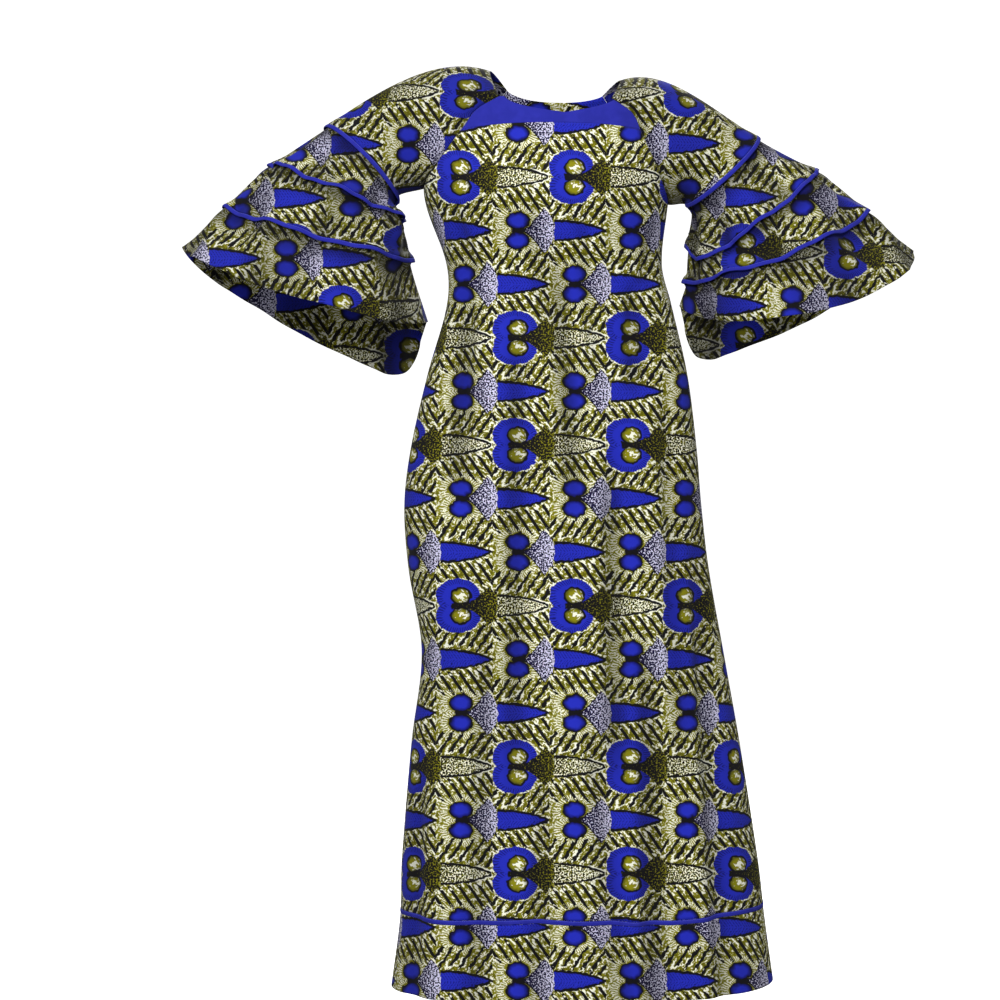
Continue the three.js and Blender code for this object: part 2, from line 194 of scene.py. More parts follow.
# %% The body's surface
def body(angle, z):
    """Superellipse section at height z, pushed out by the folds: points and outward directions."""
    right, left = through(SECTIONS, z, 1), through(SECTIONS, z, 2)
    centre, half = (right + left) / 2, (left - right) / 2
    c, s = np.cos(angle), np.sin(angle)
    c = np.where(np.abs(c) < 1e-9, 0, c)
    s = np.where(np.abs(s) < 1e-9, 0, s)
    depth = np.abs(np.where(s >= 0, through(SECTIONS, z, 3), through(SECTIONS, z, 4)))
    x = centre + half * np.sign(c) * np.abs(c) ** (2 / ROUNDNESS)
    y = -depth * np.sign(s) * np.abs(s) ** (2 / ROUNDNESS)
    power = 2 - 2 / ROUNDNESS
    way = np.stack([
        np.sign(c) * np.abs(c) ** power / half, -np.sign(s) * np.abs(s) ** power / depth, 0 * c,
    ], axis=-1)
    way = unit(way)
    out = np.where(s >= 0, folds(FRONT_FOLDS, x, z) + bust(x, z, centre), folds(BACK_FOLDS, x, z))
    out = out * ease(np.abs(s) * 1.6)
    return np.stack([x, y, z], axis=-1) + way * out[..., None], way


def edge_angle(side, z, face):
    """Angle at which a panel ends: along the raglan seam down to the underarm, then the side seam."""
    neck = (NECK_FRONT if face == "front" else NECK_BACK)[side]
    along = np.clip((neck - z) / (neck - UNDERARM[side]), 0, 1)
    reach = np.minimum(1, through(RAGLAN[face], along, 1))
    acute = np.arccos(np.clip(reach ** (ROUNDNESS / 2), -1, 1))
    from_left = acute if side == "left" else math.pi - acute
    return from_left if face == "front" else -from_left


waist, _ = body(np.linspace(0, math.pi, 9)[None], np.full((1, 9), -0.3))
print("the waist is", round(float(np.ptp(waist[..., 0])), 3), "m wide")

# %% [markdown]
# ## Laying the print on the cloth
#
# The print runs upright on every piece, as the dressmaker laid it. Each piece gets a UV map in
# metres: across the cloth and up it. Where the cloth turns away to the side, the map follows
# the cloth's own length, so that the print keeps its size round the body.

# %% Print coordinates
VIEW_FROM = 4.0  # metres at which the print looks even in front
FOLLOW = 0.72  # least share of the cloth's own length that the print keeps where it turns away
# Where the middle of a kidney's eyes falls on each piece, in millimetres from the origin, across and up
PRINT_AT = {
    "front": (-141, -154.5), "back": (-60, -120), "right": (-135, -25.5), "left": (201, -24),
    "flounce_3_right": (-318, -357), "flounce_3_left": (441, -267),
    "flounce_3_right_behind": (-472.5, -181.5), "flounce_3_left_behind": (285, -406.5),
}


def evened(points):
    """Across and up as they look from in front: both grow with nearness, about the camera's axis."""
    near = VIEW_FROM / (VIEW_FROM + points[..., 1])
    across = EYE[0] + (points[..., 0] - EYE[0]) * near
    up = EYE[2] + (points[..., 2] - EYE[2]) * near
    return across, up


def follow(flat, length, middle):
    """Adds up steps across each row from its middle: the flat step, or FOLLOW of the cloth's own."""
    step = np.maximum(np.abs(np.diff(flat, axis=1)), FOLLOW * length)
    toward = np.sign(flat[:, -1:] - flat[:, :1])
    total = np.concatenate([np.zeros_like(flat[:, :1]), np.cumsum(step * toward, axis=1)], axis=1)
    return total - total[:, middle:middle + 1] + flat[:, middle:middle + 1]


def body_print(points, face):
    """A body panel's map: followed outwards from its middle column."""
    across, up = evened(points)
    length = np.linalg.norm(np.diff(points[..., :2], axis=1), axis=-1)
    flat = follow(across, length, points.shape[1] // 2)
    return np.stack([flat if face == "front" else -flat, up], axis=-1) - MM * np.array(PRINT_AT[face])


# %% [markdown]
# ## From a grid of points to a piece
#
# Every piece below is a grid of points, so one helper turns a grid into a mesh. It is given
# to the mesh in whole arrays. Solidify then gives it the thickness of cotton, towards the wearer.


# %% Turning grids into meshes
def grid_mesh(name, points, uv, closed=False, looped=False, capped=False, shade=None):
    """Quads between neighbouring points. Closed sews the last column to the first, looped the last row."""
    rows, columns = points.shape[0] - looped, points.shape[1] - closed
    index = np.arange(rows * columns).reshape(rows, columns)
    index = np.pad(index, ((0, int(looped)), (0, int(closed))), mode="wrap")
    quads = np.stack([index[:-1, :-1], index[1:, :-1], index[1:, 1:], index[:-1, 1:]], axis=-1).reshape(-1, 4)
    left, right = uv if uv.ndim == 4 else (uv[:, :-1], uv[:, 1:])
    corners = np.stack([left[:-1], left[1:], right[1:], right[:-1]], axis=2).reshape(-1, 2)
    faces = quads.tolist()
    if capped:
        faces += [index[0, :-1].tolist(), index[-1, :-1][::-1].tolist()]
        corners = np.concatenate([corners, left[0], left[-1][::-1]])
    mesh = bpy.data.meshes.new(name)
    mesh.from_pydata(points[:rows, :columns].reshape(-1, 3), [], faces)
    layer = mesh.uv_layers.new(name="print")
    layer.data.foreach_set("uv", corners.astype(np.float32).ravel())
    if shade is not None:
        values = shade[:rows, :columns].astype(np.float32).ravel()
        mesh.attributes.new("shade", "FLOAT", "POINT").data.foreach_set("value", values)
    mesh.polygons.foreach_set("use_smooth", np.ones(len(mesh.polygons), bool))
    mesh.update()
    piece = bpy.data.objects.new(name, mesh)
    bpy.context.scene.collection.objects.link(piece)
    return piece


def cloth(name, points, uv, shade, closed=False):
    """A grid with the thickness of cloth, on the side of the wearer."""
    piece = grid_mesh(name, points, uv, closed, shade=shade)
    wall = piece.modifiers.new("cloth", "SOLIDIFY")
    wall.thickness = CLOTH
    wall.offset = -1
    wall.use_even_offset = False
    return piece


def worn(piece, node):
    """The piece stands for its solid and moves with the dress."""
    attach(piece, "root")
    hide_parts(node)
    return piece


# %% [markdown]
# ## The body pieces
#
# A panel is cut between two height curves, from one raglan or side seam to the other. The front
# is one piece from yoke to hem seam, with the piping and the hem flounce below it.

# %% The body's height curves


def mix(a, b, t):
    """From a at 0 to b at 1."""
    return a + (b - a) * t


def yoke_seam(s):
    """The yoke's lower edge, which dips towards the sleeves."""
    return YOKE_SEAM - YOKE_DROP * (2 * s - 1) ** 2


def neck_front(s):
    """The neckline in front, with a point just beside its middle."""
    from_point = np.abs(s - 0.5 - YOKE_POINT_X) / 0.5
    return mix(NECK_FRONT["right"], NECK_FRONT["left"], s) - YOKE_POINT * np.clip(1 - from_point, 0, 1)


def neck_back(s):
    """The neckline behind, a shallow scoop."""
    return mix(NECK_BACK["right"], NECK_BACK["left"], s) - 0.012 * np.sin(math.pi * np.clip(s, 0, 1)) ** 0.8


def tilt(s):
    """How much higher the hem lies towards the left."""
    return HEM_TILT * mix(-0.230, 0.310, s)


def hem_seam(s):
    """The seam above the flounce, which rises and falls a little as it is worn."""
    wave = 0.003 * np.sin(2 * math.pi * (2.6 * s + 0.1)) * np.sin(math.pi * np.clip(s, 0, 1))
    return HEM_SEAM + tilt(s) + wave


def hem(face):
    """The lowest edge, a little higher behind."""
    rise = 0 if face == "front" else HEM_RISE_BACK
    return lambda s: HEM + tilt(s) + rise * np.sin(math.pi * s)


def lowered(curve, drop):
    """The same curve, further down."""
    return lambda s: curve(s) - drop


# %% [markdown]
# ## Cutting the panels
#
# The rows of a panel run from its upper curve to its lower one, and its columns from seam to
# seam. Panels stop a hair short of one another, so that each is a piece of its own.


# %% Body panels
def panel(face, top, foot, rows, columns):
    """Rows from the top curve to the foot curve, columns from seam to seam. Returns points and directions."""
    t = np.linspace(0, 1, rows + 1)[:, None]
    s = np.linspace(0, 1, columns + 1)[None, :]
    across = s if face == "front" else 1 - s
    z = mix(top(across), foot(across), t)
    angle = mix(edge_angle("right", z, face), edge_angle("left", z, face), across)
    points, way = body(angle, z)
    points[..., 1] += -SEAM / 2 if face == "front" else SEAM / 2
    return points, way


def body_shade(points, face):
    """Painted shade: darker in the troughs, and a little beside the side seams, where the cloth turns away.
    """
    table = [fold for fold in (FRONT_FOLDS if face == "front" else BACK_FOLDS) if fold[0] < 0]
    trough = np.clip(-folds(table, points[..., 0], points[..., 2]) / 0.014, 0, 1)
    side = bell(points[..., 1] / 0.032)
    return np.clip(0.6 * trough + 0.3 * side, 0, 0.75)


PIPE = BINDING_WIDTH + 2 * SEAM
panels = {}


def body_piece(key, node, face, points, shade):
    """Cloth for one body panel, printed and with painted shade, standing for its solid."""
    panels[key] = worn(cloth(f"{key}_cloth", points, body_print(points, face), shade), node)


for face, top in (("front", lowered(yoke_seam, SEAM / 2)), ("back", neck_back)):
    points, _ = panel(face, top, hem_seam, 250, 130)
    body_piece(face, f"{face}_panel", face, points, body_shade(points, face))
    points, _ = panel(face, lowered(hem_seam, PIPE), hem(face), 30, 150)
    body_piece(f"hem_{face}", f"hem_flounce_{face}", face, points, body_shade(points, face))
points, _ = panel("front", neck_front, lowered(yoke_seam, -SEAM / 2), 24, 120)
body_piece("yoke", "yoke", "front", points, 0 * points[..., 0])
print(len(panels), "body pieces")

# %% [markdown]
# ## The sleeves
#
# A raglan sleeve runs from the neckline to the upper arm, and three flounces hang from under
# one another like a bell. Each edge is an oval ring, placed by its outermost and innermost
# points, that sags before and behind. A cubic carries the cloth from its seam to its ring.

# %% Sleeve rings
RINGS = {
    "right": [
        dict(outer=(-341, -78), inner=(-236, -188), depth=64, front=-10, back=20),
        dict(outer=(-421, -138), inner=(-230, -216), depth=90, front=3, back=40),
        dict(outer=(-487, -203), inner=(-222, -277), depth=114, front=11, back=60),
        dict(outer=(-555, -262), inner=(-196, -372), depth=140, front=28, back=88),
    ],
    "left": [
        dict(outer=(300, -92), inner=(196, -193), depth=64, front=15, back=24),
        dict(outer=(386, -146), inner=(201, -252), depth=90, front=35, back=42, slump=0.5),
        dict(outer=(459, -206), inner=(201, -308), depth=114, front=24, back=60),
        dict(outer=(535, -268), inner=(192, -347), depth=140, front=60, back=86),
    ],
}
SIGN = {"right": -1, "left": 1}
AROUND = (90, 80, 30, 80)  # columns up the back seam, round the neck edge, down the yoke and the front
COLUMNS = sum(AROUND)
U = np.linspace(0, 1, COLUMNS + 1)  # 0 under the arm, 1/4 behind, 1/2 on top, 3/4 in front
ON_TOP = np.sin(math.pi * U) ** 6  # 1 along the top of the arm


def ring(side, tier):
    """Oval between the inner and outer points, sagging by a sine before and behind."""
    r = RINGS[side][tier]
    inner, outer = MM * np.array(r["inner"]), MM * np.array(r["outer"])
    across = outer - inner
    down = SIGN[side] * unit(np.array([across[1], -across[0]]))
    c, s = (1 - np.cos(2 * math.pi * U)) / 2, np.sin(2 * math.pi * U)
    most = MM * np.where(U < 0.5, r["back"], r["front"])
    lean = np.where(U < 0.5, 0.45, r.get("slump", 1))
    hang = most * np.sin(math.pi * (2 * np.minimum(U, 1 - U)) ** lean)
    flat = inner + across * c[:, None] + down * hang[:, None]
    return np.stack([flat[:, 0], MM * r["depth"] * s + 0.008, flat[:, 1]], axis=-1)


def armhole(side):
    """Points up the back raglan seam, round the neck edge, down the yoke's side and the front seam."""
    def seam(face, z):
        return body(edge_angle(side, z, face)[None], z[None])[0][0]

    back = seam("back", np.linspace(UNDERARM[side], NECK_BACK[side], AROUND[0] + 1))
    yoke_end = YOKE_SEAM - YOKE_DROP
    yoke = seam("front", np.linspace(NECK_FRONT[side], yoke_end, AROUND[2] + 1))
    front = seam("front", np.linspace(yoke_end, UNDERARM[side], AROUND[3] + 1))
    a, b = back[-1], yoke[0]
    control = 2 * SHOULDER[side] - (a + b) / 2
    t = np.linspace(0, 1, AROUND[1] + 1)[1:-1, None]
    neck = a * (1 - t) ** 2 + control * 2 * t * (1 - t) + b * t ** 2
    return np.concatenate([back, neck, yoke, front[1:]])


print(COLUMNS, "columns round each sleeve")


# %% [markdown]
# ## From the shoulder to the cuff
#
# The cap leaves the armhole along the shoulder and lands on the first ring. Each flounce starts
# under the edge above it, passes inside that edge's binding, and then falls freely to its own
# ring, in waves that grow towards the edge.


# %% Sleeve surfaces
def sweep(p, q, leave, arrive, t):
    """Cubic from p to q that leaves and arrives along the two directions, as strongly as they are apart."""
    long = np.linalg.norm(q - p, axis=-1, keepdims=True)
    t = t[:, None, None]
    return (
        p * (1 + 2 * t) * (1 - t) ** 2 + q * (3 - 2 * t) * t * t
        + unit(leave) * long * t * (1 - t) ** 2 - unit(arrive) * long * t * t * (1 - t)
    )


def inward(grid, side):
    """Directions towards the arm, from the steps across and down a closed grid."""
    ring_points = grid[:, :-1]
    across = np.roll(ring_points, -1, axis=1) - np.roll(ring_points, 1, axis=1)
    down = np.gradient(ring_points, axis=0)
    way = -SIGN[side] * unit(np.cross(across, down))
    return np.concatenate([way, way[:, :1]], axis=1)


FLUTES, FLUTE_DEPTH, KICK, LEAN = 6, 0.012, 0.006, 0.4
SEAM_ROW = (-9, -13, -13)  # the row, from the edge up, that the next flounce is sewn under


def flutes(tier):
    """Waves round a flounce, unevenly spaced: 0 in a trough and 1 on a ridge."""
    turn = 2 * math.pi * (U * FLUTES + 0.14 * np.sin(2 * math.pi * (U + 0.21 * tier)) + 0.37 * tier)
    return 0.5 + 0.5 * np.cos(turn) + 0.18 * np.cos(2.6 * turn + tier)


def flute(t, tier):
    """How far the waves stand out: they grow towards the edge."""
    wave = flutes(tier)
    return FLUTE_DEPTH * wave * (0.55 + 0.45 * np.sin(math.pi * U)) * (t[:, None] ** 1.4)


print(FLUTES, "waves round each flounce")

# %% [markdown]
# ## Cap and flounces
#
# Each edge leans out a little, so that its binding stands clear of the flounce that hangs
# from under it. The cloth above is eased out over its last rows to meet it.


# %% Cap and flounces
def cap(side):
    """From the armhole, outwards over the shoulder, to the first ring."""
    start = armhole(side)
    over_top = np.sin(math.pi * U) ** 2
    leave = np.stack([np.full_like(U, SIGN[side]), 0 * U, mix(-0.35, 0.38, over_top)], axis=-1)
    first = ring(side, 0)
    return sweep(start + unit(leave) * SEAM, first, leave, ring(side, 1) - first, np.linspace(0, 1, 61))


def edge_of(grid, side, seam_row):
    """The last row leaning out from the cloth below, the way the cloth runs on, and its inward way."""
    onward = grid[-1] - grid[seam_row]
    way = inward(grid, side)[-1]
    kick = (np.minimum(KICK, LEAN * np.linalg.norm(onward, axis=-1)) * (1 - 0.6 * ON_TOP))[:, None]
    return grid[-1] - way * kick, unit(onward), way


def flounce(above, tier, side, seam_row):
    """Sewn under the piece above, just inside its binding, then a sweep out to its own ring, with flutes."""
    under = above[seam_row] + inward(above, side)[seam_row] * 2.1 * MM
    edge, onward, way = edge_of(above, side, seam_row)
    inside = edge + onward * (BINDING_WIDTH + SEAM) + way * mix(8, 4.1, ON_TOP)[:, None] * MM
    tuck = mix(under, inside, np.linspace(0, 1, 6)[:-1, None, None])
    t = np.linspace(0, 1, 46)
    last = ring(side, tier)
    free = sweep(inside, last, inside - under, last - above[-1], t)
    free = free - inward(free, side) * flute(t, tier)[..., None]
    return np.concatenate([tuck, free])


def leaning(grid, side, seam_row):
    """The same cloth with its edge eased out to where the binding holds it."""
    edge, _, _ = edge_of(grid, side, seam_row)
    rows = len(grid) - seam_row % len(grid)
    share = ease(np.linspace(0, 1, rows))[:, None, None]
    bent = grid.copy()
    bent[-rows:] += share * (edge - grid[-1])
    return bent


sleeves = {}
for side in ("right", "left"):
    layers = [cap(side)]
    for tier in (1, 2, 3):
        layers.append(flounce(layers[-1], tier, side, SEAM_ROW[tier - 1]))
    sleeves[side] = layers
    print(side, [layer.shape[:2] for layer in layers])


# %% [markdown]
# ## Print and shadow on the sleeves
#
# The print is upright on the sleeves too, and is followed round the arm. Each point also holds
# how far it lies in shadow, under the arm or under the flounce above.


# %% Sleeve print and pieces
def sleeve_print(points, side):
    """Along and round the arm, turned upright: followed both ways from the middle of the front."""
    along_way = unit(np.array([SIGN[side] * 0.72, -0.69]))
    across_way = np.array([-along_way[1], along_way[0]]) * SIGN[side]
    across, up = evened(points)
    flat = np.stack([across, up], axis=-1)
    along = flat @ along_way
    q = flat @ across_way
    step = np.diff(points, axis=1)
    run = step[..., 0] * along_way[0] + step[..., 2] * along_way[1]
    length = np.sqrt(np.maximum((step ** 2).sum(axis=-1) - run ** 2, 0))
    front = round(0.75 * COLUMNS)
    walk = np.maximum(np.abs(np.diff(q, axis=1)), FOLLOW * length)
    total = np.concatenate([np.zeros_like(q[:, :1]), -np.cumsum(walk, axis=1)], axis=1)
    round_arm = total - total[:, front:front + 1] + q[:, front:front + 1]
    return along[..., None] * along_way + round_arm[..., None] * across_way


def sleeve_shade(rows, tier):
    """Painted shade: a little all over, more under the arm, in the flutes' troughs, just below the binding
    above, and on the cap near the armhole.
    """
    under_arm = bell(np.minimum(U, 1 - U) / 0.09)[None]
    if tier == 0:
        down = np.linspace(0, 1, rows)[:, None]
        return 0.26 + 0.42 * under_arm + 0.25 * bell(down / 0.1)
    down = np.clip((np.arange(rows) - 5) / (rows - 6), 0, 1)[:, None]
    below = 0.18 + 0.55 * (1 - ease(down * 2.4))
    trough = np.clip(0.8 - flutes(tier), 0, 1)[None] * down ** 0.5
    return np.clip(below + 0.62 * trough + 0.3 * under_arm, 0, 0.8)


def turned(grid, side):
    """Columns run the other way round the left sleeve, so that its faces point outwards too."""
    return grid[:, ::-1] if side == "left" else grid


def split_print(grid, side, front):
    """The last flounce's front as mapped, and its back laid as it looks through the opening."""
    across, up = evened(grid)
    behind = np.stack([across, up], axis=-1) - MM * np.array(PRINT_AT[f"flounce_3_{side}_behind"])
    is_back = (U[:-1] < 0.5)[None, :, None]
    return np.stack([np.where(is_back, behind[:, cut], front[:, cut]) for cut in (np.s_[:-1], np.s_[1:])])


NAMES = ["sleeve_cap", "flounce_1", "flounce_2", "flounce_3"]
for side, layers in sleeves.items():
    for tier, grid in enumerate(layers):
        bent = leaning(grid, side, SEAM_ROW[tier]) if tier < 3 else grid
        place = PRINT_AT.get(f"{NAMES[tier]}_{side}", PRINT_AT[side])
        uv = sleeve_print(grid, side) - MM * np.array(place)
        uv = split_print(grid, side, uv) if tier == 3 else np.stack([uv[:, :-1], uv[:, 1:]])
        if side == "left":
            uv = uv[::-1, :, ::-1]
        shade = turned(sleeve_shade(len(grid), tier), side)
        piece = cloth(f"{NAMES[tier]}_cloth_{side}", turned(bent, side), uv, shade, closed=True)
        worn(piece, f"{NAMES[tier]}_{side}")
        panels[f"{NAMES[tier]}_{side}"] = piece

# %% [markdown]
# ## Bindings and piping
#
# A bias strip is folded over each flounce's edge, and a narrow one is set in above the hem.
# Each is a rounded strip carried along its edge, its section a flattened oval.


# %% Binding strips
def strip(name, edge, onward, way, width, thick, closed):
    """A flattened oval carried along an edge: it runs down by width and through by thick."""
    turn = np.linspace(0, 2 * math.pi, 17)[:, None, None]
    c, s = np.cos(turn), np.sin(turn)
    down = 0.5 + 0.5 * np.sign(c) * np.abs(c) ** 0.7
    through_cloth = 0.5 * np.sign(s) * np.abs(s) ** 0.8
    points = edge + onward * (SEAM + down * width) + way * (CLOTH / 2 - through_cloth * thick)
    along = np.concatenate([[0], np.cumsum(np.linalg.norm(np.diff(edge, axis=0), axis=-1))])
    uv = np.stack(np.broadcast_arrays(along, (down * width)[..., 0]), axis=-1)
    points, uv = np.swapaxes(points, 0, 1), np.swapaxes(uv, 0, 1)
    return grid_mesh(name, points, uv, closed=True, looped=closed, capped=not closed)


for side, layers in sleeves.items():
    for tier in (0, 1, 2):
        edge, onward, way = edge_of(layers[tier], side, SEAM_ROW[tier])
        flip = slice(None, None, -SIGN[side])
        name = f"{NAMES[tier]}_{side}_binding"
        piece = strip(f"{name}_strip", edge[flip], onward[flip], way[flip], BINDING_WIDTH, 2.4 * MM, True)
        panels[name] = worn(piece, name)
for face in ("front", "back"):
    points, way = panel(face, hem_seam, lowered(hem_seam, PIPE), 1, 150)
    onward = unit(points[1] - points[0])
    piece = strip(f"hem_piping_{face}_strip", points[0], onward, -way[0], BINDING_WIDTH, 2.6 * MM, False)
    panels[f"hem_piping_{face}"] = worn(piece, f"hem_piping_{face}")
print(len(panels), "pieces so far")

# %% [markdown]
# ## Arithmetic on the cloth
#
# The print is drawn with Math nodes, which is long to write out one node at a time. A small
# class stands for a number at every point of the cloth, so that ordinary arithmetic adds the
# nodes. Nothing is painted or stored as an image, so the print is sharp at any distance.


# %% Fields of numbers
class Field:
    """A number at every point of a surface. Each sum or product with it adds one Math node."""

    def __init__(self, socket):
        self.socket = socket

    def node(self, operation, *others):
        made = self.socket.node.id_data.nodes.new("ShaderNodeMath")
        made.operation = operation
        for k, value in enumerate((self, *others)):
            if isinstance(value, Field):
                made.id_data.links.new(value.socket, made.inputs[k])
            else:
                made.inputs[k].default_value = value
        return Field(made.outputs[0])

    def __add__(self, other):
        return self.node("ADD", other)

    def __sub__(self, other):
        return self.node("SUBTRACT", other)

    def __mul__(self, other):
        return self.node("MULTIPLY", other)

    def __truediv__(self, other):
        return self.node("DIVIDE", other)

    def __rsub__(self, other):
        return self.node("MULTIPLY", -1.0).node("ADD", other)

    def size(self):
        return self.node("ABSOLUTE")

    def floor(self):
        return self.node("FLOOR")

    def wrap(self, period):
        return self.node("FLOORED_MODULO", period)

    def least(self, other):
        return self.node("MINIMUM", other)

    def most(self, other):
        return self.node("MAXIMUM", other)

    def power(self, exponent):
        return self.node("POWER", exponent)

    def over(self, edge, soft):
        """1 where the field is above the edge, 0 below it, with a soft step between."""
        step = (self - edge) / soft + 0.5
        step.socket.node.use_clamp = True
        return step

    def under(self, edge, soft):
        return 1 - self.over(edge, soft)


def linear(red, green, blue):
    """A colour as seen, from 0 to 255, as the light that Blender works in."""
    seen = np.array([red, green, blue]) / 255
    return (*np.where(seen < 0.04045, seen / 12.92, ((seen + 0.055) / 1.055) ** 2.4), 1.0)


def near_to(x, y, centre, radii):
    """How far out of an ellipse a place is: 1 on its edge."""
    across, up = (x - centre[0]) / radii[0], (y - centre[1]) / radii[1]
    return (across * across + up * up).power(0.5)


print("olive in linear light is", linear(142, 139, 18))

# %% [markdown]
# ## The print's repeat
#
# The print is a half-drop: rows 80 mm apart hold a motif every 170 mm, and each row is moved
# half a motif along from the last. Five rows in eight hold a pair of blue eyes with a fan and
# a solid leaf. Three hold a blue kidney round two pale eyes, with a dark fan and a dotted leaf.
# Between them the ground is olive with cream, hatched with short black strokes.

# %% Sizes and colours of the print, in millimetres
ROW, COLUMN = 80.4, 170.25
ROWS_IN_REPEAT = 8.0
KIDNEY_ROWS = (0.0, 3.0, 5.0)
EYES_APART = 15.0  # each eye's middle is this far above or below the row's
LEAF_FROM, LEAF_TO = 54.5, 131.0
STROKE_PITCH, STROKE_LEAN = COLUMN / 11, 0.674
OLIVE, OLIVE_DEEP = linear(142, 139, 18), linear(98, 95, 10)
CREAM, BLACK = linear(255, 255, 236), linear(18, 16, 20)
BLUE, BLUE_DEEP = linear(36, 46, 190), linear(14, 14, 84)
NAVY, LAVENDER = linear(26, 22, 60), linear(222, 220, 246)
# the near-black colour of the painted shade, mixed in where the cloth lies in creases or under the arm and
# the flounces
PAINTED_SHADE = linear(8, 7, 12)


class Print:
    """The colours of the wax print, laid over one another on a material."""

    def __init__(self, material):
        self.tree = material.node_tree
        chart = self.tree.nodes.new("ShaderNodeUVMap")
        chart.uv_map = "print"
        split = self.tree.nodes.new("ShaderNodeSeparateXYZ")
        self.tree.links.new(chart.outputs[0], split.inputs[0])
        self.across, self.up = Field(split.outputs[0]) * 1000, Field(split.outputs[1]) * 1000

    def noise(self, x, y, scale, detail=1.0):
        """Smooth noise over x and y in millimetres, mostly from 0.3 to 0.7."""
        join = self.tree.nodes.new("ShaderNodeCombineXYZ")
        for socket, value in zip(join.inputs, (x, y)):
            self.tree.links.new(value.socket, socket)
        made = self.tree.nodes.new("ShaderNodeTexNoise")
        made.noise_dimensions = "2D"
        made.inputs["Scale"].default_value = scale
        made.inputs["Detail"].default_value = detail
        self.tree.links.new(join.outputs[0], made.inputs["Vector"])
        return Field(made.outputs[0])

    def shade(self):
        """How much shade is painted on the cloth, in creases and under the arm and the flounces, from the
        piece's own attribute.
        """
        made = self.tree.nodes.new("ShaderNodeAttribute")
        made.attribute_name = "shade"
        return Field(made.outputs["Fac"])

    def lay(self, under, over, where):
        """One colour over another where the field is 1."""
        made = self.tree.nodes.new("ShaderNodeMix")
        made.data_type = "RGBA"
        self.tree.links.new(where.socket, made.inputs["Factor"])
        for socket, colour in ((made.inputs["A"], under), (made.inputs["B"], over)):
            if isinstance(colour, tuple):
                socket.default_value = colour
            else:
                self.tree.links.new(colour, socket)
        return made.outputs["Result"]


# %% [markdown]
# ## Where each motif lies
#
# Every point of the cloth is first carried into one repeat: its row, whether that row is moved
# half a motif along, and its place from the eyes' middle. The motifs are the same above and
# below that middle, so they are drawn once, from the height's size.


# %% The repeat
def repeat(chart):
    """Place within a motif: x from the eyes, y up from their middle, and 1 where the row holds kidneys."""
    wobble = (chart.noise(chart.across, chart.up, 0.13) - 0.5) * 4.5
    down = (chart.up + wobble) * (-1 / ROW)
    row = (down + 0.5).floor()
    y = (row - down) * ROW
    along = (chart.across - wobble - row.wrap(2.0) * (COLUMN / 2) + 37.5).wrap(COLUMN) - 37.5
    turn = row.wrap(ROWS_IN_REPEAT)
    kidneys = (turn - KIDNEY_ROWS[0]).size().under(0.5, 0.01)
    for other in KIDNEY_ROWS[1:]:
        kidneys = kidneys.most((turn - other).size().under(0.5, 0.01))
    return along, y, kidneys


# %% [markdown]
# ## The ground
#
# Olive wax leaves cream blots between hatching. The strokes lean one way above each leaf and
# the other way below it, so that the bands cross like herringbone. Round each pair of eyes
# the cream breaks into fine rays.


# %% The ground
def leaf_height(x):
    """Half the leaf's height: (1 - t * t) to the power 0.85, where t runs from the fan to the tip."""
    along = ((x - LEAF_FROM) / (LEAF_TO - LEAF_FROM)).most(0.0).least(1.0)
    return (1 - along * along).power(0.85) * 14.6


def ground(chart, x, y, specks):
    """Olive with blots and rays of cream, and black strokes."""
    a = y.size()
    leaf_side = x.over(47.0, 0.1)
    lean = (leaf_side - y.over(0.0, 0.1)).size() * -2 + 1
    stroke_place = x - lean * y * STROKE_LEAN
    blots = chart.noise(stroke_place + y * 0.33, y * 0.8 - stroke_place * 0.37, 0.19, 2.0)
    cloud = blots * 0.75 + specks * 0.25
    colour = chart.lay(OLIVE, OLIVE_DEEP, cloud.under(0.45, 0.05))
    colour = chart.lay(colour, CREAM, cloud.over(0.545, 0.03))
    out = near_to(x, a, (0, EYES_APART), (17.5, 12.9))
    turn = (a - EYES_APART).node("ARCTAN2", x)
    rays = (turn * (44 / (2 * math.pi))).wrap(1.0).under(0.36, 0.25)
    colour = chart.lay(colour, OLIVE, out.under(1.95, 0.5) * x.under(26, 6) * (specks.under(0.6, 0.05)))
    colour = chart.lay(colour, CREAM, (out - 1.5).size().under(0.3, 0.1) * rays * x.under(30, 5))
    clear = (leaf_height(x) + 5.0) * leaf_side + (1 - leaf_side) * 29.0 + (blots - 0.5) * 26
    half = blots * 1.8 + 1.95
    stroke = (((stroke_place / STROKE_PITCH).wrap(1.0) - 0.5).size() * STROKE_PITCH - half).under(0.0, 0.7)
    return chart.lay(colour, BLACK, stroke * (a - clear).over(0.0, 1.5)), blots


# %% [markdown]
# ## The two motifs
#
# Each is laid over the ground from the back forward: halo, leaf, fan and then the eyes. The
# fans open like a trumpet, with edges that curve away from the leaf.


# %% The blue eyes, fan and leaf
def trumpet(x, apex, tip, height):
    """Half the fan's height, from nothing at its apex to the most at its tips, curving outwards."""
    return ((x - apex) / (tip - apex)).most(0.0).power(1.55) * height


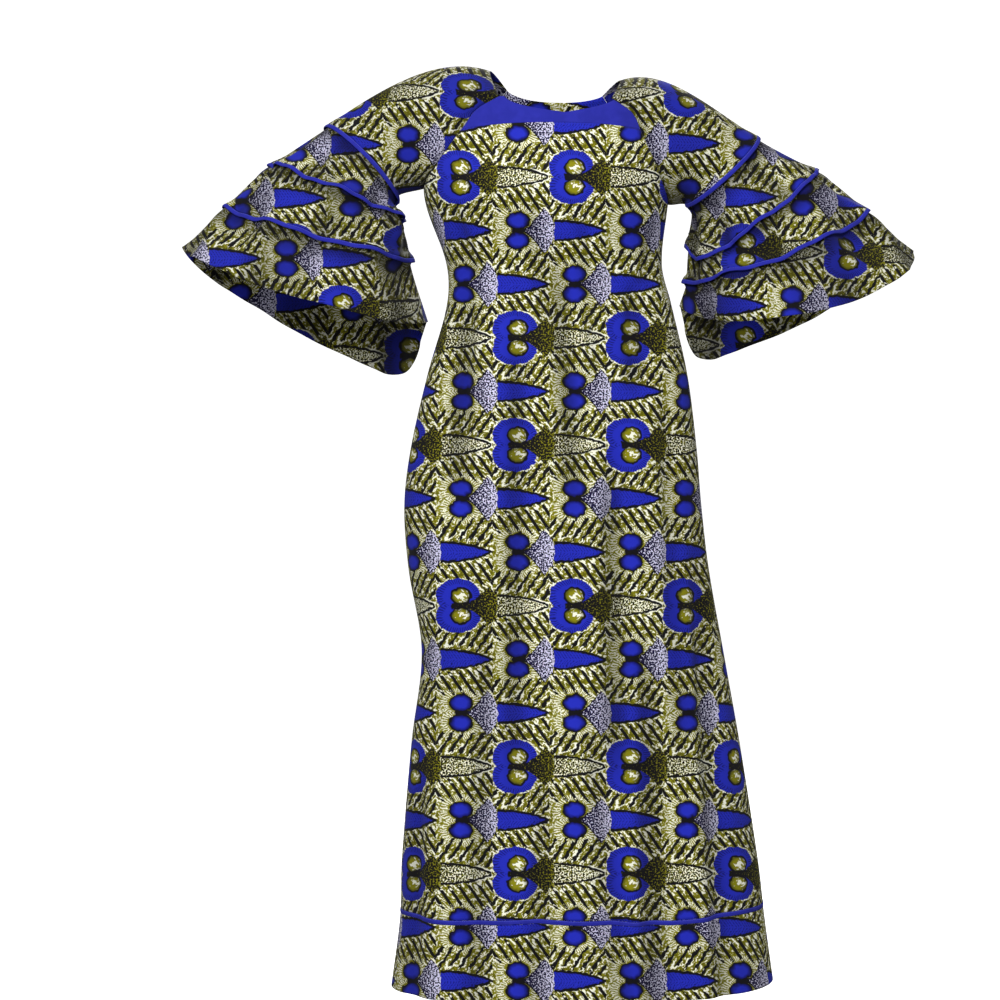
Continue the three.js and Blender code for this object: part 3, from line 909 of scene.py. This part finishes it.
def eyes(chart, x, y, colour, specks):
    """Two blue ovals above one another, a speckled fan and a solid leaf."""
    a = y.size()
    leaf = leaf_height(x) - a
    blade = x.over(LEAF_FROM, 0.8)
    bones = ((x + a * 0.7) / 4.4).wrap(1.0).under(0.3, 0.3) * (a / 3.8).wrap(1.0).over(0.25, 0.3)
    colour = chart.lay(colour, BLACK, blade * leaf.over(-2.0, 0.8) * x.under(LEAF_TO + 3, 1))
    colour = chart.lay(colour, chart.lay(BLUE, BLUE_DEEP, bones * 0.8), blade * leaf.over(2.0, 0.8))
    arc = near_to(x, a, (20.0, 0.0), (35.0, 40.0)).under(1.0, 0.02)
    edge = trumpet(x, 7.0, 39.6, 33.0) + 1.0 - a
    speckle = specks + (x - 38.0) * 0.0045 - a * 0.001
    inside = chart.lay(NAVY, LAVENDER, speckle.over(0.522, 0.05))
    colour = chart.lay(colour, BLACK, arc * edge.over(-1.6, 0.8) * x.over(6.0, 1.0))
    colour = chart.lay(colour, inside, arc * edge.over(1.0, 1.0))
    out = near_to(x, a, (0, EYES_APART), (18.0, 13.2))
    waist = near_to(x, a, (1.0, 0.0), (10.5, 7.5)).under(1.0, 0.15)
    colour = chart.lay(colour, BLACK, out.under(1.03, 0.08).most(waist))
    return chart.lay(colour, chart.lay(BLUE_DEEP, BLUE, out.under(0.68, 0.35)), out.under(0.86, 0.08))


# %% [markdown]
# ## The kidney
#
# The second motif keeps its eyes in the same two places, but one blue shape goes round both.


# %% The kidney, its pale eyes, dark fan and dotted leaf
def kidney(chart, x, y, colour, specks, blots):
    """A blue kidney round two olive eyes, a dark fan that opens to the right and a dotted leaf."""
    a = y.size()
    lobes = near_to(x, a, (-4.5, EYES_APART), (33.6, 25.4))
    turn = (a - EYES_APART).node("ARCTAN2", x)
    ticks = (turn * (48 / (2 * math.pi))).wrap(1.0).under(0.36, 0.3)
    rim = (lobes - 1.05).size().under(0.035, 0.02) * x.under(24, 3)
    colour = chart.lay(colour, CREAM, rim * specks.over(0.46, 0.06))
    leaf = leaf_height(x) + 0.6 - a
    blade = x.over(LEAF_FROM, 0.8) * x.under(LEAF_TO, 1.0)
    dots = specks + (x - 75) * 0.0013
    filling = chart.lay(OLIVE, CREAM, dots.over(0.57, 0.05))
    filling = chart.lay(filling, BLACK, dots.under(0.475, 0.05))
    colour = chart.lay(colour, CREAM, blade * leaf.over(-3.4, 0.8) * x.over(108, 8))
    colour = chart.lay(colour, BLACK, blade * leaf.over(-1.7, 0.8))
    colour = chart.lay(colour, filling, blade * leaf.over(1.9, 0.8))
    blue = chart.lay(BLUE, BLUE_DEEP, ticks * lobes.over(0.7, 0.08) * 0.85)
    colour = chart.lay(colour, blue, lobes.under(1.0, 0.03) * x.under(31, 1))
    arc = near_to(x, a, (20.0, 0.0), (35.0, 37.0)).under(1.0, 0.03)
    dark = chart.lay(BLACK, OLIVE_DEEP, (specks + (x - 40) * 0.004).over(0.565, 0.06))
    dark = chart.lay(dark, OLIVE, (specks + (x - 54) * 0.004).over(0.6, 0.05))
    fan = (trumpet(x, 8.0, 41.0, 25.0) + 4.6 - a).over(0.0, 1.2) * arc
    colour = chart.lay(colour, dark, fan * x.over(-21, 2))
    out = near_to(x, a, (0, 14.8), (16.4, 13.6))
    glint = blots * 0.75 + out * -0.12 + (x - a + 13) * 0.006
    pale = chart.lay(OLIVE, CREAM, glint.over(0.36, 0.03))
    colour = chart.lay(colour, BLACK, out.under(1.0, 0.05))
    return chart.lay(colour, chart.lay(pale, BLACK, out.over(0.68, 0.3) * 0.8), out.under(0.8, 0.08))


# %% [markdown]
# ## The finished cloth
#
# Waxed cotton is crisp and matt with a faint sheen. Its plain weave shows close to, so a fine
# bump of crossing threads is added, with slow unevenness where the cloth has been worn. The
# bindings are folded strips, held by a row of stitches close to their upper edge.


# %% Cotton
def cotton(name):
    """A matt cotton with a faint sheen, whose colour is still to be linked."""
    material = bpy.data.materials.new(name)
    material.use_nodes = True
    shader = material.node_tree.nodes["Principled BSDF"]
    shader.inputs["Roughness"].default_value = 0.85
    shader.inputs["Specular IOR Level"].default_value = 0.12
    shader.inputs["Sheen Weight"].default_value = 0.03
    shader.inputs["Sheen Roughness"].default_value = 0.6
    return material, shader


def weave(chart, shader, raised=None):
    """A bump of crossing threads, half a millimetre apart, and of slow creases."""
    turn = 2 * math.pi / 0.9
    threads = (chart.across * turn).node("SINE") * (chart.up * turn).node("SINE")
    height = threads * 0.02 + chart.noise(chart.across, chart.up * 0.35, 0.022, 2.0) * 3.0
    if raised:
        height = height + raised
    bump = chart.tree.nodes.new("ShaderNodeBump")
    bump.inputs["Strength"].default_value = 0.7
    bump.inputs["Distance"].default_value = 0.001
    chart.tree.links.new(height.socket, bump.inputs["Height"])
    chart.tree.links.new(bump.outputs[0], shader.inputs["Normal"])


def blue_cotton(name, stitched):
    """Plain dyed cotton, with a row of stitches a millimetre below the upper edge if it is stitched."""
    material, shader = cotton(name)
    chart = Print(material)
    mottle = chart.noise(chart.across, chart.up, 0.05, 2.0)
    colour = chart.lay(linear(43, 47, 166), linear(39, 43, 156), mottle.over(0.5, 0.3))
    stitch = None
    if stitched:
        stitch = (chart.across / 2.6).wrap(1.0).under(0.72, 0.1) * (chart.up - 1.1).size().under(0.28, 0.12)
        colour = chart.lay(colour, linear(84, 90, 210), stitch)
    # painted shade: the colour is darkened towards near-black as far as the piece's shade attribute says
    chart.tree.links.new(chart.lay(colour, PAINTED_SHADE, chart.shade()), shader.inputs["Base Color"])
    weave(chart, shader, stitch * 0.2 if stitched else None)
    return material


print("bindings have a stitch every 2.6 mm")

# %% [markdown]
# ## The three cloths
#
# The wax print lays both motifs over the same ground and shows one or the other, by row. Its
# colour is then darkened where the piece's own attribute says the cloth lies in shadow.

# %% The three cloths
wax, shader = cotton("wax_print")
chart = Print(wax)
x, y, kidneys = repeat(chart)
specks = chart.noise(chart.across, chart.up, 0.4)
base, blots = ground(chart, x, y, specks)
with_eyes = eyes(chart, x, y, base, specks)
with_kidney = kidney(chart, x, y, base, specks, blots)
colour = chart.lay(with_eyes, with_kidney, kidneys)
# painted shade: the print is darkened towards near-black as far as the piece's shade attribute says
wax.node_tree.links.new(chart.lay(colour, PAINTED_SHADE, chart.shade()), shader.inputs["Base Color"])
weave(chart, shader)
plain, bound = blue_cotton("plain_blue", False), blue_cotton("bound_blue", True)
print("the print takes", len(wax.node_tree.nodes), "nodes")

for name, piece in panels.items():
    is_strip = "binding" in name or "piping" in name
    piece.data.materials.append(bound if is_strip else plain if name == "yoke" else wax)

# %% [markdown]
# ## The stage
#
# A pale floor that curves up into a pale wall all round keeps attention on the cloth, from
# whichever side it is seen. It glows evenly, so that it stays white, and neither lights the
# dress nor shades it.

# %% The stage's floor
RADIUS, CURVE = 9.0, 3.0  # metres to where the floor starts to rise, and of the curve it rises by
t = np.linspace(0, math.pi / 2, 24)
out = np.concatenate([[0.001], RADIUS + CURVE * np.sin(t), [RADIUS + CURVE]])[:, None]
up = np.concatenate([[0.0], CURVE - CURVE * np.cos(t), [9.0]])[:, None] - 1.42
turn = np.linspace(0, 2 * math.pi, 65)[None, :]
points = np.stack([out * np.cos(turn), out * np.sin(turn), up + 0 * turn], axis=-1)
floor = grid_mesh("stage_floor", points, points[..., :2], closed=True)
pale = bpy.data.materials.new("stage_white")
pale.use_nodes = True
shader = pale.node_tree.nodes["Principled BSDF"]
shader.inputs["Base Color"].default_value = (0.8, 0.8, 0.8, 1)
shader.inputs["Roughness"].default_value = 0.9
shader.inputs["Emission Color"].default_value = (1, 1, 1, 1)
shader.inputs["Emission Strength"].default_value = 0.95
floor.data.materials.append(pale)
floor.visible_diffuse = False
floor.visible_glossy = False
floor.visible_shadow = False
print("the floor reaches", RADIUS + CURVE, "m")

# %% [markdown]
# ## The lights
#
# The key stands high in front, to the dress's right, and shapes the folds. A weak fill low on
# its left keeps the dark side open, one above lights the shoulders, and one behind the back.

# %% The lights
def soft_light(name, place, size, power):
    """An area light turned to the middle of the dress, and not itself seen."""
    lamp = bpy.data.lights.new(name, "AREA")
    lamp.shape = "RECTANGLE"
    lamp.size, lamp.size_y = size
    lamp.energy = power
    holder = bpy.data.objects.new(name, lamp)
    holder.location = place
    holder.rotation_euler = (Vector((0.0, 0.0, -0.65)) - Vector(place)).to_track_quat("-Z", "Y").to_euler()
    holder.visible_camera = False
    bpy.context.scene.collection.objects.link(holder)


soft_light("key", (-1.1, -3.4, 0.9), (0.9, 1.5), 100)
soft_light("fill", (1.7, -3.4, -1.1), (1.4, 2.0), 26)
soft_light("top", (0.0, -0.9, 2.2), (2.0, 0.8), 15)
soft_light("behind", (0.5, 2.9, 1.1), (1.2, 1.8), 96)
world = bpy.data.worlds.new("studio")
world.use_nodes = True
world.node_tree.nodes["Background"].inputs["Color"].default_value = (1, 1, 1, 1)
world.node_tree.nodes["Background"].inputs["Strength"].default_value = 0.2
bpy.context.scene.world = world
bpy.context.scene.view_settings.view_transform = "Standard"
print(len(bpy.data.lights), "soft lights")

# %% [markdown]
# ## What the cloth was cut to
#
# Each piece of cloth is listed with the flat size it was cut to, in metres, and the area of that cut, since
# none is a rectangle, which is printed beside the area as modelled. The blue binding or piping that finishes
# its edge is looked up by name.

# %% The cut of each piece
# width, length, area of the cut
CUT = {
    "yoke": (0.28, 0.08, 0.0075), "front": (0.74, 1.20, 0.62), "back": (0.71, 1.26, 0.61),
    "hem_front": (0.80, 0.12, 0.088), "hem_back": (0.76, 0.12, 0.078),
    "sleeve_cap": (0.61, 0.27, 0.078), "flounce_1": (0.70, 0.14, 0.055),
    "flounce_2": (0.89, 0.13, 0.076), "flounce_3": (1.13, 0.14, 0.108),
}
for name, (width, length, area) in CUT.items():
    for side in ("",) if name in panels else ("_right", "_left"):
        piece, finish = panels[name + side], f"{name}{side}_binding"
        if name.startswith("hem_"):
            finish = f"hem_piping_{name[4:]}"
        surface = sum(face.area for face in piece.data.polygons)
        print(f"{name}{side} is cut {width} by {length} m, area {area} against {surface:.4f} as modelled")
        trims = [panels[finish]] if finish in panels else []
